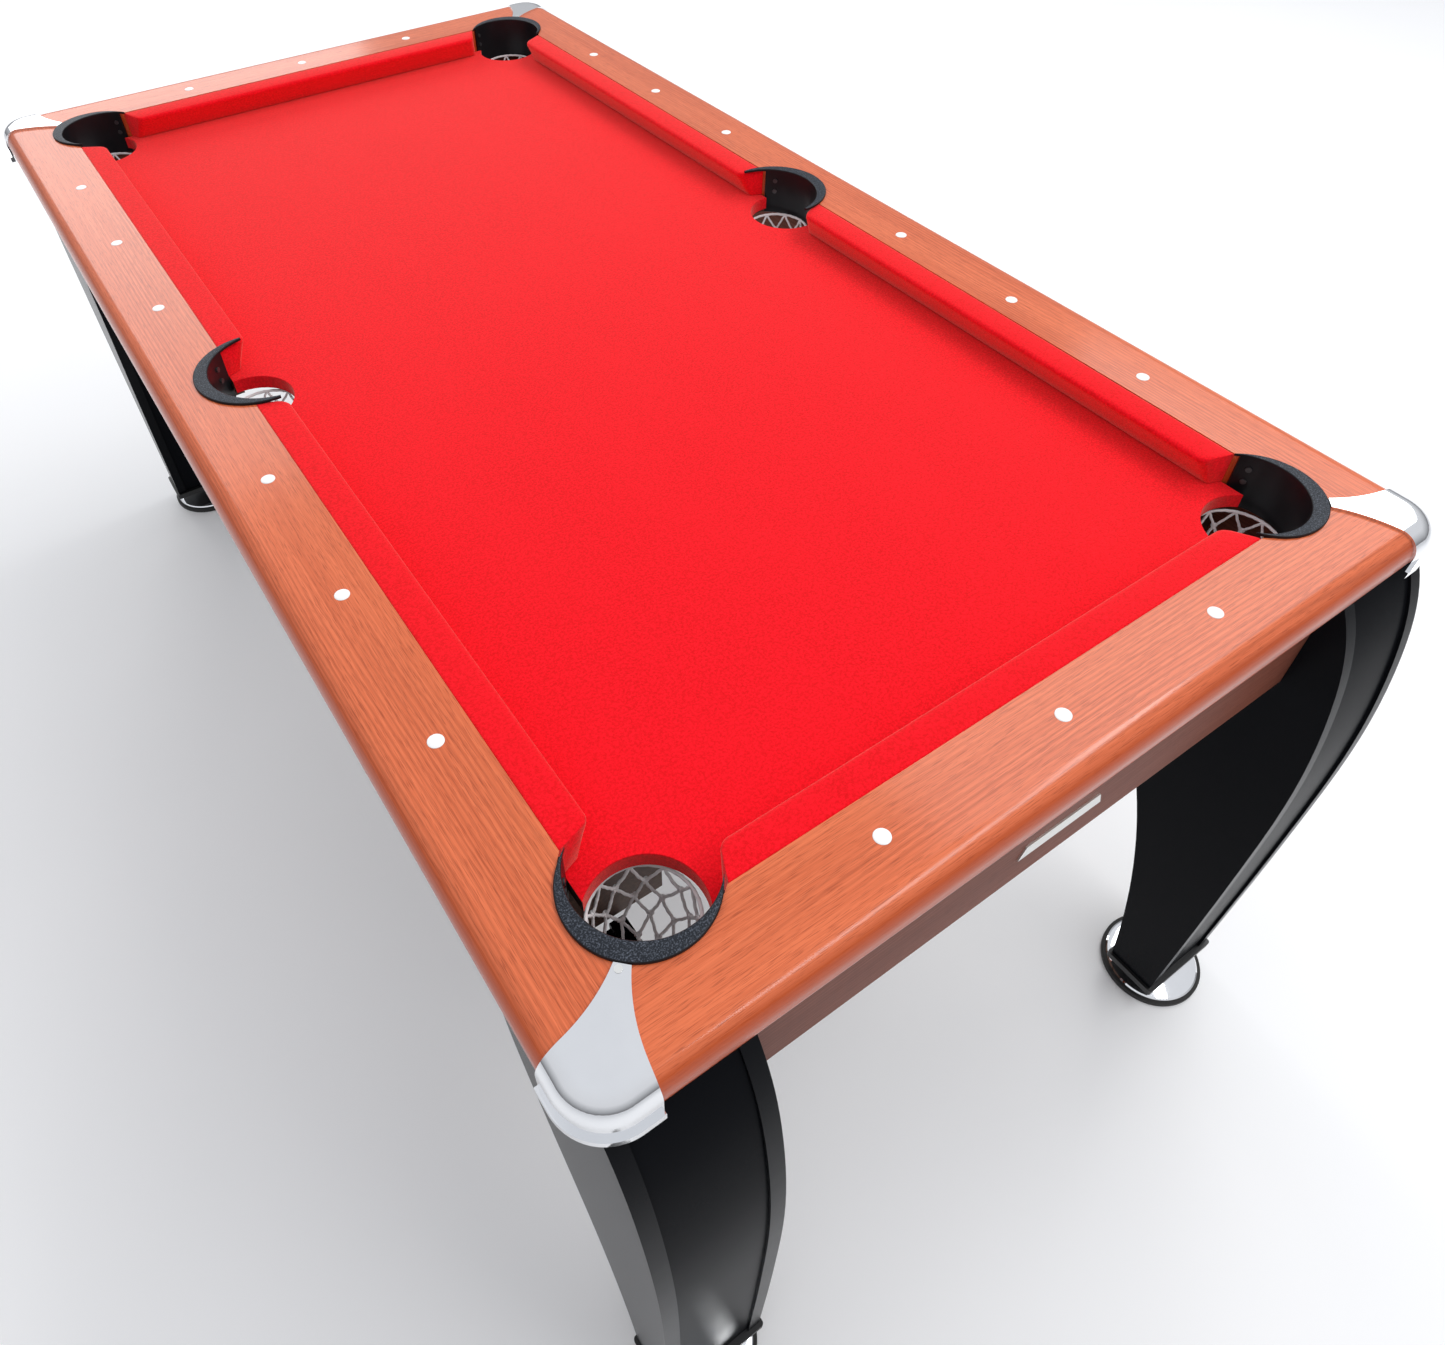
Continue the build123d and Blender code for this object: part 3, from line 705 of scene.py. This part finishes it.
# --- Pocket nets -----------------------------------------------------------------------------
# Six nets of 3 mm twisted white cotton cord, knotted in diamonds about 27 mm wide. Each hangs
# from a ring of cord stapled under the bed and is drawn together at the bottom.
CORD = 0.0015
STRAND_LAY = 0.009
NET_COLUMNS = 10
# each row of knots: how much wider than the net's radius, and its height
NET_ROWS = [(0.0014, 0.7500), (0.0006, 0.7300), (-0.0014, 0.7080), (-0.0050, 0.6870), (-0.0160, 0.6690)]
NET_INSET = 0.0016
NET_FOOT = (0.0075, 0.6615)
CORNER_NET = (0.349, 0.755, 0.043)
SIDE_NET = (0.367, 0.0, 0.042)
KNOT_SIZE = 0.0021
KNOT_STEPS = 36
HOOP_STEPS = 72

cotton = new_finish("white_cord")
on_cord = cotton.place()
lint = cotton.cloud(on_cord, 1400.0, 4.0, 0.7)
grime = cotton.cloud(on_cord, 70.0, 3.0)
clean = cotton.mix(rgba(0.78, 0.75, 0.75), rgba(0.92, 0.90, 0.90), lint)
white_cord = cotton.surface(
    Base_Color=cotton.mix(clean, rgba(0.62, 0.57, 0.57), grime * 0.4),
    Roughness=0.85,
    Normal=cotton.bump(lint, 0.5, 0.0004),
    Sheen_Weight=0.15,
)


def twisted(line, radius, around=9):
    """A cord of three strands twisted along a line of points."""
    rings = []
    travelled = 0.0
    normal = Vector((0.31, 0.52, 0.79))
    for k, point in enumerate(line):
        before, after = line[max(k - 1, 0)], line[min(k + 1, len(line) - 1)]
        way = (after - before).normalized()
        normal = (normal - way * normal.dot(way)).normalized()
        other = way.cross(normal)
        if k:
            travelled += (point - line[k - 1]).length
        twist = 2 * math.pi * travelled / STRAND_LAY
        ring = []
        for j in range(around):
            a = 2 * math.pi * j / around
            r = radius * (0.90 + 0.16 * math.cos(3 * a - twist))
            ring.append(point + normal * (r * math.cos(a)) + other * (r * math.sin(a)))
        rings.append(ring)
    return loft(rings)


def bent(points, steps):
    """Points on a smooth line through the given ones."""
    line = []
    for k in range(len(points) - 1):
        p0, p1 = points[max(k - 1, 0)], points[k]
        p2, p3 = points[k + 1], points[min(k + 2, len(points) - 1)]
        slope = p2 - p0
        bow = 2 * p0 - 5 * p1 + 4 * p2 - p3
        swing = 3 * p1 - p0 - 3 * p2 + p3
        for s in range(steps):
            t = s / steps
            line.append(0.5 * (2 * p1 + slope * t + bow * t**2 + swing * t**3))
    return line + [points[-1]]


def knot(at, outward, chance):
    """A small tight knot: one closed trefoil of the same cord, lying in the net's surface."""
    side = outward.cross(Vector((0, 0, 1)))
    side = side.normalized() if side.length > 0.01 else Vector((1, 0, 0))
    rise = side.cross(outward).normalized()
    start = chance.uniform(0, 2 * math.pi)
    line = []
    for k in range(KNOT_STEPS + 1):
        t = 2 * math.pi * k / KNOT_STEPS + start
        u = 0.40 * (math.sin(t) + 2 * math.sin(2 * t))
        v = 0.44 * (math.cos(t) - 2 * math.cos(2 * t))
        w = -0.30 * math.sin(3 * t)
        line.append(at + KNOT_SIZE * (side * u + rise * v + outward * w))
    return twisted(line, CORD * 0.86, around=8)


def net(name, cx, cy, radius, seed):
    """One net: rows of knots with cords crossing between them, a hoop and a drawn-in foot."""
    chance = random.Random(seed)

    def spot(r, a, z):
        return Vector((cx + r * math.cos(a), cy + r * math.sin(a), z))

    held = []
    for row, (wider, z) in enumerate(NET_ROWS):
        loose = 1 if row else 0
        ring = []
        for i in range(NET_COLUMNS):
            a = 2 * math.pi * (i + 0.5 * (row % 2)) / NET_COLUMNS + chance.uniform(-0.05, 0.05) * loose
            r = radius + wider - NET_INSET + chance.uniform(-0.001, 0.0) * loose
            up = chance.uniform(-0.002, 0.002) * loose
            ring.append(spot(r, a, z + up))
        held.append(ring)
    half = 0.5 * (len(NET_ROWS) % 2)
    foot_r, foot_z = NET_FOOT
    held.append([spot(foot_r, 2 * math.pi * (i + half) / NET_COLUMNS, foot_z) for i in range(NET_COLUMNS)])
    cords = []
    for row in range(len(held) - 1):
        shift = 0 if row % 2 else -1
        for i in range(NET_COLUMNS):
            for j in (i + shift, i + shift + 1):
                top, low = held[row][i], held[row + 1][j % NET_COLUMNS]
                out = (top + low) / 2 - Vector((cx, cy, 0))
                out.z = 0
                out.normalize()
                sag = Vector((0, 0, -chance.uniform(0.0004, 0.0018)))
                a_third = top.lerp(low, 0.3) + sag + out * chance.uniform(-0.0012, 0.0002)
                two_thirds = top.lerp(low, 0.7) + sag + out * chance.uniform(-0.0012, 0.0002)
                thick = CORD * chance.uniform(0.93, 1.0)
                cords.append(twisted(bent([top, a_third, two_thirds, low], 6), thick))
    for row in held[1:-1]:
        for at in row:
            out = at - Vector((cx, cy, 0))
            out.z = -0.01
            cords.append(knot(at, out.normalized(), chance))
    around = [2 * math.pi * k / HOOP_STEPS for k in range(HOOP_STEPS + 1)]
    hoop_wider, hoop_z = NET_ROWS[0]
    cords.append(twisted([spot(radius + hoop_wider - NET_INSET, a, hoop_z) for a in around], CORD * 1.15))
    cords.append(twisted([spot(foot_r, a, foot_z) for a in around[::3]], CORD * 1.2))
    made = piece(f"pocket_net_{name}_knotted", cords, white_cord, "table", 60.0)
    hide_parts(f"pocket_net_{name}")


for seed, (name, (sx, sy)) in enumerate(CORNERS.items(), 41):
    net(name, sx * CORNER_NET[0], sy * CORNER_NET[1], CORNER_NET[2], seed)
net("left", -SIDE_NET[0], SIDE_NET[1], SIDE_NET[2], 51)
net("right", SIDE_NET[0], SIDE_NET[1], SIDE_NET[2], 52)

# --- Corner caps and chromed feet ------------------------------------------------------------
# Pressed steel caps over the rail mitres and the bell-shaped feet, both bright chromed.
chrome = new_finish("bright_chrome")
on_chrome = chrome.place()
haze = chrome.cloud(on_chrome, 35.0, 4.0, 0.6)
polish = chrome.cloud(chrome.stretched(on_chrome, (900, 60, 900)), 1.0, 2.0)
bright = chrome.surface(
    Base_Color=chrome.mix(rgba(0.80, 0.81, 0.83), rgba(0.87, 0.88, 0.895), haze),
    Metallic=1.0,
    Roughness=chrome.between(haze, 0.35, 0.75) * 0.06 + 0.045,
    Normal=chrome.bump(polish, 0.02, 0.0002),
)
for name in CORNERS:
    nodes[f"corner_cap_{name}"].material_slots[0].material = bright
    nodes[f"foot_bell_{name}"].material_slots[0].material = bright

# --- Aprons ----------------------------------------------------------------------------------
# Flat boards under the rails in the same foil as the rails, given much darker browns for the shade under
# the rails: painted shade.
APRON_SHADED_TONES = ((0.225, 0.078, 0.052), (0.175, 0.056, 0.036), (0.100, 0.030, 0.019))
APRON_GRAIN = {"left": ("Y", 21.1), "right": ("Y", 25.7), "near": ("X", 31.9), "far": ("X", 37.3)}
for side, (run, seed) in APRON_GRAIN.items():
    foil = wood(f"apron_foil_{side}", run, APRON_SHADED_TONES, seed, IOR=1.12)
    nodes[f"apron_{side}"].material_slots[0].material = foil

# --- Blank plate -----------------------------------------------------------------------------
# A thin brushed aluminium plate with nothing on it, glued to the near apron.
metal = new_finish("brushed_plate")
brush = metal.cloud(metal.stretched(metal.place(), (30, 900, 2200)), 1.0, 3.0, 0.6)
nodes["name_plate"].material_slots[0].material = metal.surface(
    Base_Color=metal.mix(rgba(0.70, 0.70, 0.68), rgba(0.84, 0.83, 0.80), brush),
    Metallic=0.9,
    Roughness=brush * 0.15 + 0.28,
    Normal=metal.bump(brush, 0.1, 0.0002),
)

# --- Legs ------------------------------------------------------------------------------------
# Box legs of four boards in satin black laminate: two shaped sides, and bent panels in a duller
# film let in between them. A moulded black plate closes the foot of each.


def black_laminate(name, gloss):
    """Near-black film with fine pores. gloss is its refractive index, which sets how it shines."""
    black = new_finish(name)
    on_leg = black.place()
    pores = black.cloud(black.stretched(on_leg, (1400, 1400, 90)), 1.0, 2.0)
    film = black.cloud(on_leg, 4.0, 3.0)
    leather = black.cloud(on_leg, 1900.0, 2.0)
    greyed = pores * 0.7 + film * 0.3
    return black.surface(
        Base_Color=black.mix(rgba(0.0035, 0.0040, 0.0050), rgba(0.0075, 0.0078, 0.0095), greyed),
        Roughness=film * 0.06 + leather * 0.06 + 0.18,
        IOR=gloss,
        Normal=black.bump(leather * 0.7 + pores * 0.3, 0.12, 0.0004),
    )


side_film = black_laminate("black_side_laminate", 1.12)
panel_film = black_laminate("black_panel_laminate", 1.05)
for name in CORNERS:
    nodes[f"leg_boards_{name}"].material_slots[0].material = side_film
    nodes[f"leg_front_{name}"].material_slots[0].material = panel_film
nodes["leg_back_panels"].material_slots[0].material = panel_film

moulded = new_finish("moulded_plate")
fine = moulded.cloud(moulded.place(), 1300.0, 3.0)
nodes["leg_base_plates"].material_slots[0].material = moulded.surface(
    Base_Color=moulded.mix(rgba(0.006, 0.006, 0.006), rgba(0.014, 0.014, 0.015), fine),
    Roughness=fine * 0.12 + 0.38,
    Normal=moulded.bump(fine, 0.3, 0.0003),
)

# --- Screw feet ------------------------------------------------------------------------------
# Each bell stands on a black rubber tread. A zinc-plated screw with a hexagon to turn it by
# goes up from the bell into the leg; its thread is M12 with a 1.75 mm pitch.
rubber = new_finish("black_rubber")
dust = rubber.cloud(rubber.place(), 400.0, 4.0, 0.65)
tread = rubber.surface(
    Base_Color=rubber.mix(rgba(0.008, 0.008, 0.008), rgba(0.022, 0.021, 0.020), dust),
    Roughness=dust * 0.15 + 0.6,
    Normal=rubber.bump(dust, 0.3, 0.0004),
)
FOOT_CENTRE = (0.3955, 0.898)
THREAD_PITCH = 0.00175
THREAD_DEPTH = 0.0009
THREAD_SPAN = (0.0357, 0.0838)
RUN_OUT = 0.001
STEM_R = 0.006
PLAIN_R = 0.0058
SHANK = [(STEM_R, 0.01215), (STEM_R, 0.02920)]
HEXAGON = [(0.0095, 0.02915), (0.0107, 0.0298), (0.0107, 0.0347), (0.0095, 0.0354)]
COLLAR = [(PLAIN_R, 0.0352), (PLAIN_R, 0.0360)]


def thread(cx, cy):
    """The screw's threaded part, whose V groove runs out at the top."""
    low, high = THREAD_SPAN
    rings = []
    steps = int((high - low) / (THREAD_PITCH / 6))
    for k in range(steps + 1):
        z = low + (high - low) * k / steps
        share = min(1.0, (high - z) / RUN_OUT + 0.1)
        ring = []
        for j in range(24):
            a = 2 * math.pi * j / 24
            turn = (z / THREAD_PITCH - a / (2 * math.pi)) % 1.0
            r = STEM_R - THREAD_DEPTH * abs(2 * turn - 1) * share
            ring.append((cx + r * math.cos(a), cy + r * math.sin(a), z))
        rings.append(ring)
    return loft(rings)


for name, (sx, sy) in CORNERS.items():
    nodes[f"foot_tread_{name}"].material_slots[0].material = tread
    centre = (sx * FOOT_CENTRE[0], sy * FOOT_CENTRE[1])
    screw = [
        turned(SHANK, centre, 24),
        turned(HEXAGON, centre, 6),
        turned(COLLAR, centre, 24),
        thread(*centre),
    ]
    stem = piece(f"foot_stem_{name}_threaded", screw, zinc_plate, f"stem_{name}", 30.0)
    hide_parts(f"foot_stem_{name}")
